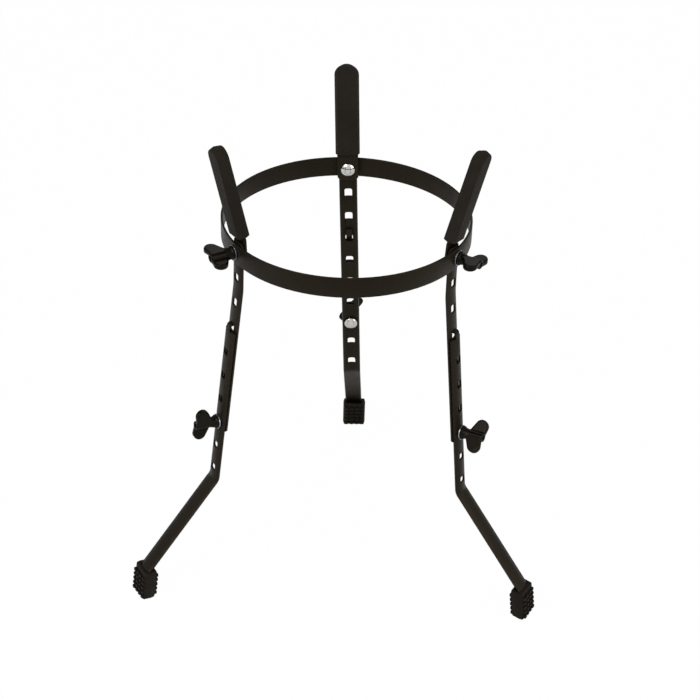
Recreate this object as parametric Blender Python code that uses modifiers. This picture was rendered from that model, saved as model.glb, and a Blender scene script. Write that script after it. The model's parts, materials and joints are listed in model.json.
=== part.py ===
"""Adjustable conga stand: a flat ring on three telescoping legs, with three padded arms.

Every leg stack hangs on one carriage bolt through the ring: padded arm, upper leg bar, ring strap,
washer and wing knob. A second bolt clamps the lower leg bar, which hooks into a hole higher up.
Metres, +Z up, standing on z = 0. The ring's open side view, as photographed, looks along +Y.
"""
import math

import bmesh
import bpy
from mathutils import Matrix, Vector

CLEARANCE = 0.0003

RING_RADIUS = 0.165
STRAP_THICKNESS = 0.003
STRAP_HEIGHT = 0.028
STRAP_EDGE = 0.0005
RING_STEPS = 96

BAR_WIDTH = 0.0254
BAR_THICKNESS = 0.003
UPPER_BOW = 0.0030
LOWER_BOW = 0.0045
FOOT_BOW = 0.0028
BAR_COLUMNS = 8
TOP_OVERHANG = 0.0155
END_ROUNDING = 0.005

HOLE_PITCH = 0.0381
FIRST_HOLE = 0.0385
HOLE_WIDTH = 0.0105
UPPER_HOLE_HEIGHT = 0.012
LOWER_HOLE_HEIGHT = 0.0105
HOLE_CORNER = 0.0022
UPPER_HOLES = 7
LOWER_HOLES = 6
HOOK_HOLE = 3
UPPER_TAIL = 0.0135

KNEE_DROP = 0.056
KNEE_RADIUS = 0.060
LEG_LEAN = 5.5
FOOT_BEND_DROP = 0.0195
FOOT_BEND_RADIUS = 0.014
FOOT_STRETCH_LEAN = 39.3
FOOT_STRETCH = 0.166
FOOT_TIP_RADIUS = 0.010
FOOT_TIP = 0.0335
HOOK_WIDTH = 0.0079
HOOK_THICKNESS = 0.0028
HOOK_INSET = 0.0001
HOOK_BEND = 0.0015
HOOK_RISE = 0.0115
HOOK_STANDOFF = 0.0012
SHOULDER_DROP = 0.0118

ARM_WIDTH = 0.029
ARM_THICKNESS = 0.003
ARM_FOOT = 0.0165
ARM_BEND_RISE = 0.019
ARM_BEND_RADIUS = 0.010
ARM_TONGUE = 0.112
PAD_WIDTH = 0.033
PAD_FACE_WIDTH = 0.026
PAD_THICKNESS = 0.016
PAD_SPLIT = 0.0069
PAD_START = 0.0235
PAD_LENGTH = 0.128
PAD_TILT = 11.0
PAD_EDGE = 0.0012

BOLT_DIAMETER = 0.008
HEAD_DIAMETER = 0.0196
HEAD_HEIGHT = 0.0046
BOLT_HOLE = 0.0088
NECK_WIDTH = 0.0085
BOLT_ENGAGEMENT = 0.0145

WASHER_DIAMETER = 0.0205
WASHER_THICKNESS = 0.0016

KNOB_LENGTH = 0.0325
KNOB_SPAN = 0.0415
KNOB_THICKNESS = 0.0105
KNOB_EDGE = 0.0028
NECK_DIAMETER = 0.0140
NECK_LENGTH = 0.0110
LOBE_RADIUS = 0.0080
INSERT_DIAMETER = 0.0100
INSERT_LENGTH = 0.0130

BOOT_FACE_WIDTH = 0.032
BOOT_WIDTH = 0.035
BOOT_DEPTH = 0.0176
BOOT_HEIGHT = 0.044
BOOT_LEAN = 7.0
BOOT_SOLE = 0.0100
BOOT_WALL = 0.0030
BOOT_MOUTH = 0.0100
BOOT_EDGE = 0.0012
TREAD_COLUMNS = 4
TREAD_ROWS = 5
TREAD_PITCH_ACROSS = 0.0084
TREAD_PITCH_UP = 0.0074
TREAD_BLOCK_WIDTH = 0.0054
TREAD_BLOCK_HEIGHT = 0.0046
TREAD_PROUD = 0.0013

# Where each leg stands round the ring, and how far its bars are turned from upright, in degrees.
# A bar turned by a positive angle has its lower end moved anticlockwise seen from above.
LEG_AZIMUTH = {"back": 90.0, "left": 210.0, "right": 330.0}
LEG_SWING = {"back": -2.1, "left": -3.0, "right": 0.0}
ARM_SWING = {"back": -2.0, "left": 5.5, "right": -9.5}
RING_KNOB_TURN = {"back": 20.0, "left": -17.0, "right": 5.0}
LEG_KNOB_TURN = {"back": -32.0, "left": 75.0, "right": 100.0}

POWDER_COAT = ("powder_coat", (0.022, 0.018, 0.015), 0.55, 0.42)
PAD_RUBBER = ("pad_rubber", (0.026, 0.023, 0.020), 0.0, 0.78)
BOOT_RUBBER = ("boot_rubber", (0.020, 0.018, 0.015), 0.0, 0.70)
KNOB_PLASTIC = ("knob_plastic", (0.008, 0.007, 0.007), 0.0, 0.33)
BOLT_CHROME = ("bolt_chrome", (0.72, 0.73, 0.75), 1.0, 0.16)
WASHER_ZINC = ("washer_zinc", (0.66, 0.72, 0.80), 1.0, 0.26)
INSERT_BRASS = ("insert_brass", (0.62, 0.47, 0.22), 1.0, 0.35)


def clear_scene():
    for item in list(bpy.data.objects):
        bpy.data.objects.remove(item, do_unlink=True)


def material(settings):
    name, colour, metallic, roughness = settings
    made = bpy.data.materials.get(name)
    if made is None:
        made = bpy.data.materials.new(name)
        made.use_nodes = True
        shader = made.node_tree.nodes["Principled BSDF"]
        shader.inputs["Base Color"].default_value = (*colour, 1.0)
        shader.inputs["Metallic"].default_value = metallic
        shader.inputs["Roughness"].default_value = roughness
    return made


def scratch_object(data):
    item = bpy.data.objects.new("shape", data)
    bpy.context.scene.collection.objects.link(item)
    return item


def baked(item, smooth_angle=None):
    """Return the evaluated mesh of an object and remove the object."""
    bpy.context.view_layer.update()
    graph = bpy.context.evaluated_depsgraph_get()
    mesh = bpy.data.meshes.new_from_object(item.evaluated_get(graph))
    mesh.transform(item.matrix_world)
    bpy.data.objects.remove(item, do_unlink=True)
    shape = bmesh.new()
    shape.from_mesh(mesh)
    bmesh.ops.remove_doubles(shape, verts=shape.verts, dist=0.000001)
    bmesh.ops.recalc_face_normals(shape, faces=shape.faces)
    shape.to_mesh(mesh)
    shape.free()
    if smooth_angle is not None:
        mesh.shade_smooth()
        mesh.set_sharp_from_angle(angle=math.radians(smooth_angle))
    return mesh


def combined(mesh, tool, operation, smooth_angle=None):
    """Cut or join one mesh with another."""
    base = scratch_object(mesh)
    other = scratch_object(tool)
    step = base.modifiers.new("combine", "BOOLEAN")
    step.operation = operation
    step.solver = "EXACT"
    step.object = other
    result = baked(base, smooth_angle)
    bpy.data.objects.remove(other, do_unlink=True)
    return result


def bevelled(mesh, width, segments, angle=30.0, smooth_angle=None):
    item = scratch_object(mesh)
    step = item.modifiers.new("edges", "BEVEL")
    step.width = width
    step.segments = segments
    step.limit_method = "ANGLE"
    step.angle_limit = math.radians(angle)
    return baked(item, smooth_angle)


def moved(mesh, matrix):
    copy = mesh.copy()
    copy.transform(matrix)
    return copy


def joined(meshes):
    """Put separate closed bodies into one mesh."""
    shape = bmesh.new()
    for mesh in meshes:
        shape.from_mesh(mesh)
    result = bpy.data.meshes.new("joined")
    shape.to_mesh(result)
    shape.free()
    return result


def block(size, centre, taper=1.0):
    """A box; with a taper, its far face along +X is drawn in by that factor."""
    shape = bmesh.new()
    bmesh.ops.create_cube(shape, size=1.0)
    for vert in shape.verts:
        factor = taper if vert.co.x > 0 else 1.0
        vert.co = Vector((vert.co.x * size[0], vert.co.y * size[1] * factor, vert.co.z * size[2] * factor))
        vert.co += Vector(centre)
    mesh = bpy.data.meshes.new("block")
    shape.to_mesh(mesh)
    shape.free()
    return mesh


def slab(outline, half_depth, edge=0.0, edge_steps=2):
    """A flat outline in XY given a thickness along Z, with its edges rounded by the curve's bevel."""
    curve = bpy.data.curves.new("outline", "CURVE")
    curve.dimensions = "2D"
    curve.fill_mode = "BOTH"
    curve.extrude = half_depth - edge
    curve.bevel_depth = edge
    curve.bevel_resolution = edge_steps
    curve.offset = -edge
    curve.render_resolution_u = 0
    spline = curve.splines.new("POLY")
    spline.points.add(len(outline) - 1)
    for point, (x, y) in zip(spline.points, outline):
        point.co = (x, y, 0.0, 1.0)
    spline.use_cyclic_u = True
    return baked(scratch_object(curve))


def turned(profile, steps, closed=False):
    """Turn a profile of (radius, height) points about Z."""
    mesh = bpy.data.meshes.new("profile")
    points = [(radius, 0.0, height) for radius, height in profile]
    edges = [(index, index + 1) for index in range(len(points) - 1)]
    if closed:
        edges.append((len(points) - 1, 0))
    mesh.from_pydata(points, edges, [])
    item = scratch_object(mesh)
    step = item.modifiers.new("turn", "SCREW")
    step.steps = steps
    step.render_steps = steps
    step.use_merge_vertices = True
    step.merge_threshold = 0.000005
    return baked(item, 35.0)


def arc_points(centre, radius, start, end, count):
    """Points on an arc, angles in degrees."""
    points = []
    for index in range(count + 1):
        angle = math.radians(start + (end - start) * index / count)
        points.append((centre[0] + radius * math.cos(angle), centre[1] + radius * math.sin(angle)))
    return points


class Route:
    """A bent line in the XZ plane: straight runs and arcs that turn left when positive."""

    def __init__(self, start, heading, runs):
        self.start = Vector(start)
        self.heading = math.radians(heading)
        self.runs = [(length, math.radians(turn)) for length, turn in runs]

    def at(self, distance):
        """Point and left-hand normal at a distance along the line."""
        point = self.start.copy()
        heading = self.heading
        for length, turn in self.runs:
            part = min(distance, length)
            if (length, turn) == self.runs[-1]:
                part = distance
            if turn:
                radius = length / turn
                swept = part / radius
                centre = point + radius * Vector((-math.sin(heading), math.cos(heading)))
                heading += swept
                point = centre + radius * Vector((math.sin(heading), -math.cos(heading)))
            else:
                point = point + part * Vector((math.cos(heading), math.sin(heading)))
            distance -= part
            if distance <= 0:
                break
        return point, Vector((-math.sin(heading), math.cos(heading)))

    def stations(self, arc_steps):
        """Distances of the cross lines: ends of the runs, and steps inside each arc."""
        marks = [0.0]
        for length, turn in self.runs:
            steps = arc_steps if turn else 1
            marks += [marks[-1] + length * (step + 1) / steps for step in range(steps)]
        return marks

    def length(self):
        return sum(length for length, turn in self.runs)


def edge_angle(width, bow):
    """Half the angle of the arc across a bowed bar."""
    return 2.0 * math.atan2(bow, width / 2.0)


def section_depth(width, bow, thickness):
    """Depth of a bowed bar from its crown to its inner corners."""
    return bow + thickness * math.cos(edge_angle(width, bow))


def strip(route, width, thickness, bow_at, columns, arc_steps=4, start_round=0.0, end_round=0.0):
    """A bowed sheet along a route, thickened away from the route's left-hand side."""
    marks = route.stations(arc_steps)
    total = marks[-1]
    shape = bmesh.new()
    bmesh.ops.create_grid(shape, x_segments=columns, y_segments=len(marks) - 1, size=1.0)
    for vert in shape.verts:
        across = vert.co.x
        row = round((vert.co.y + 1.0) / 2.0 * (len(marks) - 1))
        mark = marks[row]
        bow = bow_at(mark)
        angle = edge_angle(width, bow)
        if angle:
            radius = width / 2.0 / math.sin(angle)
            side = radius * math.sin(across * angle)
            drop = radius * (1.0 - math.cos(across * angle))
        else:
            side = across * width / 2.0
            drop = 0.0
        for rounding, end, sign in ((start_round, 0, 1.0), (end_round, len(marks) - 1, -1.0)):
            into = abs(side) - (width / 2.0 - rounding)
            if row == end and rounding and into > 0:
                mark += sign * (rounding - math.sqrt(max(rounding ** 2 - into ** 2, 0.0)))
        mark = min(max(mark, 0.0), total)
        point, normal = route.at(mark)
        place = point - drop * normal
        vert.co = Vector((place.x, side, place.y))
    shape.faces.ensure_lookup_table()
    middle = shape.faces[0]
    shape.normal_update()
    normal_there = route.at(0.0)[1]
    if middle.normal.dot(Vector((normal_there.x, 0.0, normal_there.y))) < 0:
        bmesh.ops.reverse_faces(shape, faces=shape.faces)
    mesh = bpy.data.meshes.new("sheet")
    shape.to_mesh(mesh)
    shape.free()
    item = scratch_object(mesh)
    step = item.modifiers.new("thickness", "SOLIDIFY")
    step.thickness = thickness
    step.offset = -1.0
    step.use_even_offset = True
    return baked(item, 30.0)


def turn_outward(angle):
    """Rotation that leans a leg's downward axis outward by an angle in degrees."""
    return Matrix.Rotation(-math.radians(angle), 4, "Y")


def hole_outline(width, height):
    """Adjusting hole: square lower corners, rounded upper corners; y runs up."""
    half = width / 2.0
    top = height / 2.0
    points = [(-half, -top), (half, -top)]
    points += arc_points((half - HOLE_CORNER, top - HOLE_CORNER), HOLE_CORNER, 0.0, 90.0, 2)
    points += arc_points((HOLE_CORNER - half, top - HOLE_CORNER), HOLE_CORNER, 90.0, 180.0, 2)
    return points


def hole_cutters(route, distances, height):
    """Punches for adjusting holes, each square to the bar where it stands."""
    punch_depth = BAR_THICKNESS * 3.0
    flat = slab(hole_outline(HOLE_WIDTH, height), punch_depth)
    stand_up = Matrix(((0, 0, 1, 0), (1, 0, 0, 0), (0, 1, 0, 0), (0, 0, 0, 1)))
    cutters = []
    for distance in distances:
        point, normal = route.at(distance)
        lean = math.degrees(math.atan2(normal.y, normal.x))
        place = Matrix.Translation((point.x, 0.0, point.y)) @ turn_outward(lean) @ stand_up
        cutters.append(moved(flat, place))
    return joined(cutters)


def round_cutter(diameter, length, matrix):
    shape = bmesh.new()
    bmesh.ops.create_cone(shape, cap_ends=True, segments=20, radius1=diameter / 2.0, radius2=diameter / 2.0, depth=length)
    mesh = bpy.data.meshes.new("punch")
    shape.to_mesh(mesh)
    shape.free()
    mesh.transform(matrix)
    return mesh


ALONG_X = Matrix.Rotation(math.radians(90.0), 4, "Y")

# The upper bar's crown line, from its top end down. Distances are measured from that end.
KNEE_ARC = KNEE_RADIUS * math.radians(LEG_LEAN)
HOLE_7 = FIRST_HOLE + (UPPER_HOLES - 1) * HOLE_PITCH
UPPER_LENGTH = TOP_OVERHANG + HOLE_7 + UPPER_TAIL
UPPER_ROUTE = Route(
    (-CLEARANCE, TOP_OVERHANG), -90.0,
    [(TOP_OVERHANG + KNEE_DROP - KNEE_ARC / 2.0, 0.0), (KNEE_ARC, LEG_LEAN),
     (UPPER_LENGTH - TOP_OVERHANG - KNEE_DROP - KNEE_ARC / 2.0, 0.0)])

# The lower bar's inner corners rest on the upper bar's outer face, which sets how far apart the crowns are.
EDGE_ANGLE_LOWER = edge_angle(BAR_WIDTH, LOWER_BOW)
LOWER_RADIUS = BAR_WIDTH / 2.0 / math.sin(EDGE_ANGLE_LOWER)
UPPER_RADIUS = BAR_WIDTH / 2.0 / math.sin(edge_angle(BAR_WIDTH, UPPER_BOW))
CORNER_OUT = (LOWER_RADIUS - BAR_THICKNESS) * math.sin(EDGE_ANGLE_LOWER)
CORNER_DROP = section_depth(BAR_WIDTH, LOWER_BOW, BAR_THICKNESS)
SADDLE_DROP = UPPER_RADIUS - math.sqrt(UPPER_RADIUS ** 2 - CORNER_OUT ** 2)
CROWN_SPACING = CORNER_DROP - SADDLE_DROP + CLEARANCE

# The hook pivots on the upper edge of its hole. In its frame X points out of the bar and Z up along it.
HOOK_SEAT = FIRST_HOLE + (HOOK_HOLE - 1) * HOLE_PITCH - UPPER_HOLE_HEIGHT / 2.0
SEAT_DEPTH = BAR_THICKNESS / 2.0
BEND_DROP = HOLE_7 + 2.0 * HOLE_PITCH + FOOT_BEND_DROP - HOOK_SEAT
LOWER_CROWN = CROWN_SPACING + SEAT_DEPTH
FOOT_TURN = FOOT_STRETCH_LEAN - LEG_LEAN
FOOT_ARC = FOOT_BEND_RADIUS * math.radians(FOOT_TURN)
LOWER_STRAIGHT = BEND_DROP - SHOULDER_DROP - FOOT_ARC / 2.0
TIP_TURN = BOOT_LEAN - FOOT_STRETCH_LEAN
TIP_ARC = FOOT_TIP_RADIUS * math.radians(abs(TIP_TURN))
LOWER_ROUTE = Route(
    (LOWER_CROWN, -SHOULDER_DROP), -90.0,
    [(LOWER_STRAIGHT, 0.0), (FOOT_ARC, FOOT_TURN), (FOOT_STRETCH - FOOT_ARC / 2.0 - TIP_ARC / 2.0, 0.0),
     (TIP_ARC, TIP_TURN), (FOOT_TIP - TIP_ARC / 2.0, 0.0)])

# The arm lies flat against the upper bar's inner corners.
ARM_OUTER_X = -(2.0 * CLEARANCE + section_depth(BAR_WIDTH, UPPER_BOW, BAR_THICKNESS))
ARM_INNER_X = ARM_OUTER_X - ARM_THICKNESS
ARM_ARC = ARM_BEND_RADIUS * math.radians(PAD_TILT)
ARM_ROUTE = Route((ARM_INNER_X, -ARM_FOOT), 90.0,
                  [(ARM_FOOT + ARM_BEND_RISE - ARM_ARC / 2.0, 0.0), (ARM_ARC, -PAD_TILT), (ARM_TONGUE, 0.0)])

# A flat head meets the hollow of the upper bar with its rim.
HOLLOW_RADIUS = UPPER_RADIUS - BAR_THICKNESS
HEAD_SAG = HOLLOW_RADIUS - math.sqrt(HOLLOW_RADIUS ** 2 - (HEAD_DIAMETER / 2.0) ** 2)
LEG_HEAD_X = -(BAR_THICKNESS + HEAD_SAG + CLEARANCE)
RING_HEAD_X = ARM_INNER_X - CLEARANCE
RING_WASHER_X = STRAP_THICKNESS + CLEARANCE
LEG_WASHER_X = CROWN_SPACING + CLEARANCE
KNOB_GAP = WASHER_THICKNESS + CLEARANCE


def ring_mesh():
    half = STRAP_HEIGHT / 2.0
    inner = RING_RADIUS - STRAP_THICKNESS
    profile = [
        (RING_RADIUS - STRAP_EDGE, half), (RING_RADIUS, half - STRAP_EDGE), (RING_RADIUS, STRAP_EDGE - half),
        (RING_RADIUS - STRAP_EDGE, -half), (inner + STRAP_EDGE, -half), (inner, STRAP_EDGE - half),
        (inner, half - STRAP_EDGE), (inner + STRAP_EDGE, half)]
    ring = turned(profile, RING_STEPS, closed=True)
    punches = []
    for azimuth in LEG_AZIMUTH.values():
        reach = Matrix.Translation((RING_RADIUS - STRAP_THICKNESS / 2.0, 0.0, 0.0))
        place = Matrix.Rotation(math.radians(azimuth), 4, "Z") @ reach @ ALONG_X
        punches.append(round_cutter(BOLT_HOLE, STRAP_THICKNESS * 6.0, place))
    return combined(ring, joined(punches), "DIFFERENCE", 30.0)


def upper_leg_mesh():
    bar = strip(UPPER_ROUTE, BAR_WIDTH, BAR_THICKNESS, lambda mark: UPPER_BOW, BAR_COLUMNS,
                arc_steps=2, start_round=END_ROUNDING, end_round=END_ROUNDING / 2.0)
    distances = [TOP_OVERHANG + FIRST_HOLE + index * HOLE_PITCH for index in range(UPPER_HOLES)]
    cutters = hole_cutters(UPPER_ROUTE, distances, UPPER_HOLE_HEIGHT)
    bolt_hole = round_cutter(BOLT_HOLE, BAR_THICKNESS * 8.0, ALONG_X)
    return combined(bar, joined([cutters, bolt_hole]), "DIFFERENCE", 30.0)


def lower_bow_at(mark):
    """The bar flattens as it goes round the foot bend."""
    into = (mark - LOWER_STRAIGHT) / FOOT_ARC
    share = min(max(into, 0.0), 1.0)
    return LOWER_BOW + (FOOT_BOW - LOWER_BOW) * share


def hook_mesh():
    """The tongue that goes in through its hole and turns up behind the upper bar."""
    outer_side = LOWER_CROWN - HOOK_INSET
    inner_side = outer_side - HOOK_THICKNESS
    root = -SHOULDER_DROP * 1.6
    top_side = -CLEARANCE
    under_side = top_side - HOOK_THICKNESS
    nose_side = SEAT_DEPTH - BAR_THICKNESS - HOOK_STANDOFF - HOOK_THICKNESS
    quarter = math.radians(90.0)
    first = quarter * HOOK_BEND
    second = quarter * (HOOK_BEND + HOOK_THICKNESS)
    run_in = inner_side - HOOK_BEND - (nose_side + HOOK_BEND + HOOK_THICKNESS)
    runs = [(under_side - HOOK_BEND - root, 0.0), (first, 90.0), (run_in, 0.0), (second, -90.0),
            (HOOK_RISE - HOOK_BEND, 0.0)]
    route = Route((inner_side, root), 90.0, runs)
    bow = HOOK_WIDTH ** 2 / 8.0 / LOWER_RADIUS * 0.9
    return strip(route, HOOK_WIDTH, HOOK_THICKNESS, lambda mark: -bow, 4, arc_steps=4)


def lower_leg_mesh():
    bar = strip(LOWER_ROUTE, BAR_WIDTH, BAR_THICKNESS, lower_bow_at, BAR_COLUMNS,
                arc_steps=4, start_round=0.0, end_round=END_ROUNDING / 2.0)
    first = HOOK_SEAT + SHOULDER_DROP
    distances = [FIRST_HOLE + (HOOK_HOLE + index) * HOLE_PITCH - first for index in range(LOWER_HOLES)]
    bar = combined(bar, hole_cutters(LOWER_ROUTE, distances, LOWER_HOLE_HEIGHT), "DIFFERENCE")
    return combined(bar, hook_mesh(), "UNION", 30.0)


def arm_mesh():
    arm = strip(ARM_ROUTE, ARM_WIDTH, ARM_THICKNESS, lambda mark: 0.0, BAR_COLUMNS,
                arc_steps=3, start_round=END_ROUNDING, end_round=ARM_WIDTH / 2.0)
    hole = block((ARM_THICKNESS * 8.0, NECK_WIDTH + 2.0 * CLEARANCE, NECK_WIDTH + 2.0 * CLEARANCE), (0.0, 0.0, 0.0))
    hole.transform(Matrix.Translation((ARM_INNER_X, 0.0, 0.0)))
    return combined(arm, hole, "DIFFERENCE", 30.0)


def pad_outline(width, depth):
    """Closed outline of the pad at one depth: flat below, round above. Local X depth, Y side, Z along."""
    half = width / 2.0
    centre = PAD_LENGTH - PAD_WIDTH / 2.0
    points = [(-half, 0.0), (half, 0.0)] + arc_points((0.0, centre), half, 0.0, 180.0, 18)
    return [Vector((depth, side, along)) for side, along in points]


def pad_mesh():
    """A drawn-in moulding: widest at its split line, narrower at both faces, with a slot for the arm."""
    layers = [pad_outline(PAD_FACE_WIDTH, 0.0), pad_outline(PAD_WIDTH, PAD_SPLIT),
              pad_outline(PAD_FACE_WIDTH, PAD_THICKNESS)]
    shape = bmesh.new()
    rings = [[shape.verts.new(point) for point in layer] for layer in layers]
    count = len(rings[0])
    for near, far in zip(rings[:-1], rings[1:]):
        for index in range(count):
            after = (index + 1) % count
            shape.faces.new((near[index], near[after], far[after], far[index]))
    shape.faces.new(rings[0])
    shape.faces.new(rings[-1])
    mesh = bpy.data.meshes.new("pad")
    shape.to_mesh(mesh)
    shape.free()
    mesh = bevelled(baked(scratch_object(mesh)), PAD_EDGE, 2, 15.0)
    mesh.transform(pad_place())
    slot_route = Route((ARM_INNER_X - CLEARANCE, -ARM_FOOT), 90.0,
                       [(ARM_FOOT + ARM_BEND_RISE - ARM_ARC / 2.0, 0.0), (ARM_ARC, -PAD_TILT),
                        (ARM_TONGUE + 2.0 * CLEARANCE, 0.0)])
    slot = strip(slot_route, ARM_WIDTH + 2.0 * CLEARANCE, ARM_THICKNESS + 2.0 * CLEARANCE, lambda mark: 0.0,
                 BAR_COLUMNS, arc_steps=3, start_round=END_ROUNDING, end_round=ARM_WIDTH / 2.0)
    return combined(mesh, slot, "DIFFERENCE", 30.0)


def pad_place():
    """The pad's frame: the arm's tongue lies on the split line, and the bottom end is square to it."""
    tongue_start, normal = ARM_ROUTE.at(ARM_FOOT + ARM_BEND_RISE + ARM_ARC / 2.0)
    along = Vector((normal.y, -normal.x))
    rise = (PAD_START - tongue_start.y) / along.y
    foot = tongue_start + rise * along
    foot = foot + (PAD_SPLIT - ARM_THICKNESS / 2.0) * normal
    return Matrix.Translation((foot.x, 0.0, foot.y)) @ Matrix.Rotation(math.radians(PAD_TILT), 4, "Y")


def bolt_mesh(neck_length, shank_length):
    """Carriage bolt: domed head behind x = 0, square neck, plain shank towards +X."""
    radius = HEAD_DIAMETER / 2.0
    rim = HEAD_HEIGHT * 0.22
    dome = HEAD_HEIGHT - rim
    sphere = (radius ** 2 + dome ** 2) / (2.0 * dome)
    span = math.degrees(math.asin(radius / sphere))
    profile = arc_points((0.0, sphere - HEAD_HEIGHT), sphere, -90.0, -90.0 + span, 3)
    profile[0] = (0.0, -HEAD_HEIGHT)
    shank = BOLT_DIAMETER / 2.0
    tip = BOLT_DIAMETER * 0.12
    profile += [(radius, 0.0), (shank, 0.0), (shank, shank_length - tip), (shank - tip, shank_length),
                (0.0, shank_length)]
    bolt = turned(profile, 18)
    bolt.transform(ALONG_X)
    overlap = HEAD_HEIGHT * 0.3
    neck = block((neck_length + overlap, NECK_WIDTH, NECK_WIDTH), ((neck_length - overlap) / 2.0, 0.0, 0.0))
    return combined(bolt, neck, "UNION", 35.0)


def washer_mesh():
    bore = BOLT_DIAMETER / 2.0 + CLEARANCE
    outer = WASHER_DIAMETER / 2.0
    profile = [(outer, WASHER_THICKNESS), (outer, 0.0), (bore, 0.0), (bore, WASHER_THICKNESS)]
    washer = turned(profile, 22, closed=True)
    washer.transform(ALONG_X)
    return washer


def insert_mesh():
    bore = BOLT_DIAMETER / 2.0 + CLEARANCE
    outer = INSERT_DIAMETER / 2.0
    profile = [(outer, INSERT_LENGTH), (outer, 0.0), (bore, 0.0), (bore, INSERT_LENGTH)]
    insert = turned(profile, 12, closed=True)
    insert.transform(ALONG_X)
    return insert


def knob_outline():
    """Side view of the wings: a heart, two round lobes meeting in a dip. X across, Y along the axis."""
    side = KNOB_SPAN / 2.0 - LOBE_RADIUS
    height = KNOB_LENGTH - LOBE_RADIUS
    base = NECK_LENGTH * 0.55
    right = [(NECK_DIAMETER * 0.36, base)]
    right += arc_points((side, height), LOBE_RADIUS, -38.0, 132.0, 6)
    right.append((KNOB_SPAN * 0.07, KNOB_LENGTH - LOBE_RADIUS * 0.95))
    left = [(-x, y) for x, y in reversed(right)]
    return right + left


def knob_mesh():
    """Wing knob: a turned neck joined to two rounded wings, bored for its insert."""
    wings = slab(knob_outline(), KNOB_THICKNESS / 2.0, KNOB_EDGE, 1)
    wings.transform(Matrix(((0, 1, 0, 0), (1, 0, 0, 0), (0, 0, -1, 0), (0, 0, 0, 1))))
    neck = NECK_DIAMETER / 2.0
    top = KNOB_LENGTH - LOBE_RADIUS * 1.15
    profile = [(0.0, top), (neck * 0.72, top), (neck * 0.98, NECK_LENGTH), (neck, NECK_LENGTH * 0.5),
               (neck, 0.0), (0.0, 0.0)]
    collar = turned(profile, 14)
    collar.transform(ALONG_X)
    body = combined(wings, collar, "UNION")
    bore_depth = BOLT_ENGAGEMENT + BOLT_DIAMETER * 0.3
    narrow = round_cutter(BOLT_DIAMETER + 2.0 * CLEARANCE, bore_depth * 2.0, ALONG_X)
    wide = round_cutter(INSERT_DIAMETER + 2.0 * CLEARANCE, (INSERT_LENGTH + CLEARANCE) * 2.0, ALONG_X)
    body = combined(body, narrow, "DIFFERENCE")
    return combined(body, wide, "DIFFERENCE", 40.0)


def boot_mesh(bar_end, pocket):
    """Rubber boot standing on the floor: two faces with block tread, ridged sides and an open mouth.

    Local X points outward and Z up. The bar's crown ends at bar_end, and pocket is the bar's cutter.
    """
    faces = BOOT_FACE_WIDTH / 2.0
    ridge = BOOT_WIDTH / 2.0
    depth = BOOT_DEPTH / 2.0
    lean = math.tan(math.radians(BOOT_LEAN))
    outline = [(-depth, -faces), (0.0, -ridge), (depth, -faces), (depth, faces), (0.0, ridge), (-depth, faces)]
    body = bevelled(slab(outline, BOOT_HEIGHT / 2.0), BOOT_EDGE, 1, 20.0)
    half = BOOT_HEIGHT / 2.0
    body.transform(Matrix(((1, 0, -lean, -half * lean), (0, 1, 0, 0), (0, 0, 1, half), (0, 0, 0, 1))))
    stud = block((TREAD_PROUD * 2.0, TREAD_BLOCK_WIDTH, TREAD_BLOCK_HEIGHT), (0.0, 0.0, 0.0), 0.8)
    blocks = []
    for side in (-1.0, 1.0):
        flip = Matrix.Rotation(math.radians(0.0 if side > 0 else 180.0), 4, "Z")
        for row in range(TREAD_ROWS):
            height = TREAD_PITCH_UP * (row + 0.5) + BOOT_EDGE
            for column in range(TREAD_COLUMNS):
                across = (column - (TREAD_COLUMNS - 1) / 2.0) * TREAD_PITCH_ACROSS
                place = Matrix.Translation((side * depth - height * lean, across, height))
                blocks.append(moved(stud, place @ turn_outward(-BOOT_LEAN) @ flip))
    body = combined(body, joined(blocks), "UNION")
    crown = BOOT_WALL - depth
    body.transform(Matrix.Translation((bar_end.x + crown + bar_end.z * lean, bar_end.y, 0.0)))
    body = combined(body, pocket, "DIFFERENCE")
    return combined(body, mouth_mesh(bar_end), "DIFFERENCE", 30.0)


def mouth_mesh(bar_end):
    """Cutter for the wedge-shaped mouth behind the bar, open at the boot's top."""
    lean = math.tan(math.radians(BOOT_LEAN))
    crown = bar_end.x + (bar_end.z - BOOT_HEIGHT) * lean
    inner = crown + 2.0 * BOOT_WALL - BOOT_DEPTH
    over = BOOT_WALL
    behind = crown - BAR_THICKNESS / 2.0
    outline = [(behind + BOOT_MOUTH * lean, BOOT_HEIGHT - BOOT_MOUTH), (behind - over * lean, BOOT_HEIGHT + over),
               (inner - over * lean, BOOT_HEIGHT + over), (inner, BOOT_HEIGHT - BOOT_WALL)]
    wedge = slab(outline, BAR_WIDTH * 0.47)
    wedge.transform(Matrix(((1, 0, 0, 0), (0, 0, -1, bar_end.y), (0, 1, 0, 0), (0, 0, 0, 1))))
    return wedge


def add_part(name, mesh, look, parent, matrix=None):
    own = mesh.copy()
    own.name = name
    own.materials.clear()
    own.materials.append(material(look))
    item = bpy.data.objects.new(name, own)
    PARTS.objects.link(item)
    item.parent = parent
    if matrix is not None:
        item.matrix_local = matrix
    return item


def add_axis(name, parent, matrix):
    """An empty that carries pieces, with its X axis on the joint it stands for."""
    axis = bpy.data.objects.new(name, None)
    axis.empty_display_size = 0.02
    PARTS.objects.link(axis)
    axis.parent = parent
    axis.matrix_local = matrix
    return axis


def turned_about_x(angle):
    return Matrix.Rotation(math.radians(angle), 4, "X")


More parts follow.
